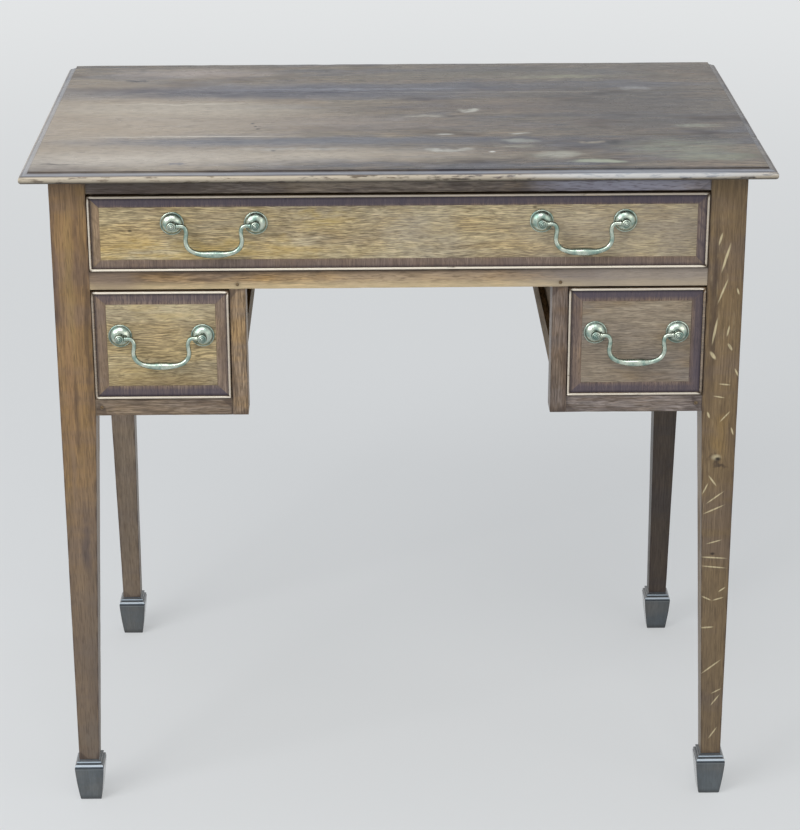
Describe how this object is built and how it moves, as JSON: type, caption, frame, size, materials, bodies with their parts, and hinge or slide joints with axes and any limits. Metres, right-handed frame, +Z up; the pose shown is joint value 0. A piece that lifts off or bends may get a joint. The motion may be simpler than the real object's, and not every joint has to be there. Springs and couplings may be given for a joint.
{
  "type": "lowboy",
  "caption": "Low oak dressing table on tapered square legs with spade feet: a long drawer over small side drawers, a kneehole, a moulded top and swan-neck bail handles.",
  "frame": {"origin": "on the floor, under the middle of the top", "axes": "+Z up; the front with its drawers faces -Y; +X is to the right of someone facing the front"},
  "size_m": [0.825, 0.516, 0.7875],
  "materials": {
    "top_oak": "old waxed oak, worn and scratched",
    "case_oak": "old polished oak",
    "pin_oak": "oak end grain",
    "inner_oak": "dry unpolished oak",
    "drawer_oak": "old polished oak, straw brown",
    "banding_oak": "polished, cross grain",
    "bead_oak": "polished oak bead",
    "lining_oak": "dry unpolished oak",
    "brass": "cast brass, aged and dull"
  },
  "bodies": {
    "case": {"top_board_front": "top_oak", "top_board_middle": "top_oak", "top_board_back": "top_oak", "leg_front_left": "case_oak", "leg_front_right": "case_oak", "leg_back_left": "case_oak", "leg_back_right": "case_oak", "foot_front_left": "case_oak", "foot_front_right": "case_oak", "foot_back_left": "case_oak", "foot_back_right": "case_oak", "side_panel_left": "case_oak", "side_panel_right": "case_oak", "top_rail": "case_oak", "middle_rail": "case_oak", "bottom_rail_left": "case_oak", "bottom_rail_right": "case_oak", "stile_left": "case_oak", "stile_right": "case_oak", "rail_pins": "pin_oak", "back_board_lower": "inner_oak", "back_board_upper": "inner_oak", "long_drawer_runners": "inner_oak", "long_drawer_kickers": "inner_oak", "small_drawer_outer_runners": "inner_oak", "small_drawer_inner_bearers": "inner_oak", "small_drawer_kickers": "inner_oak", "drawer_guides": "inner_oak", "drawer_stops": "inner_oak", "top_glue_blocks": "inner_oak"},
    "long_drawer": {"long_drawer_front": "drawer_oak", "long_drawer_crossbanding": "banding_oak", "long_drawer_cockbead": "bead_oak", "long_drawer_sides": "lining_oak", "long_drawer_back": "lining_oak", "long_drawer_bottom": "lining_oak", "long_drawer_roses": "brass", "long_drawer_handle_bolts": "brass"},
    "left_drawer": {"left_drawer_front": "drawer_oak", "left_drawer_crossbanding": "banding_oak", "left_drawer_cockbead": "bead_oak", "left_drawer_sides": "lining_oak", "left_drawer_back": "lining_oak", "left_drawer_bottom": "lining_oak", "left_drawer_roses": "brass", "left_drawer_handle_bolts": "brass"},
    "right_drawer": {"right_drawer_front": "drawer_oak", "right_drawer_crossbanding": "banding_oak", "right_drawer_cockbead": "bead_oak", "right_drawer_sides": "lining_oak", "right_drawer_back": "lining_oak", "right_drawer_bottom": "lining_oak", "right_drawer_roses": "brass", "right_drawer_handle_bolts": "brass"},
    "long_left_bail": {"long_drawer_left_bail": "brass"},
    "long_right_bail": {"long_drawer_right_bail": "brass"},
    "left_bail": {"left_drawer_bail": "brass"},
    "right_bail": {"right_drawer_bail": "brass"}
  },
  "joints": [
    {"name": "long_drawer_slide", "type": "slide", "parent": "case", "child": "long_drawer", "axis": [0, -1, 0], "range_m": [0, 0.32]},
    {"name": "left_drawer_slide", "type": "slide", "parent": "case", "child": "left_drawer", "axis": [0, -1, 0], "range_m": [0, 0.3]},
    {"name": "right_drawer_slide", "type": "slide", "parent": "case", "child": "right_drawer", "axis": [0, -1, 0], "range_m": [0, 0.3]},
    {"name": "long_left_bail_swing", "type": "hinge", "parent": "long_drawer", "child": "long_left_bail", "pos_m": [-0.204, -0.2375, 0.7215], "axis": [-1, 0, 0], "range_deg": [-11, 185]},
    {"name": "long_right_bail_swing", "type": "hinge", "parent": "long_drawer", "child": "long_right_bail", "pos_m": [0.204, -0.2375, 0.7215], "axis": [-1, 0, 0], "range_deg": [-11, 185]},
    {"name": "left_bail_swing", "type": "hinge", "parent": "left_drawer", "child": "left_bail", "pos_m": [-0.2665, -0.2375, 0.591], "axis": [-1, 0, 0], "range_deg": [-11, 190]},
    {"name": "right_bail_swing", "type": "hinge", "parent": "right_drawer", "child": "right_bail", "pos_m": [0.2665, -0.2375, 0.591], "axis": [-1, 0, 0], "range_deg": [-11, 190]}
  ]
}
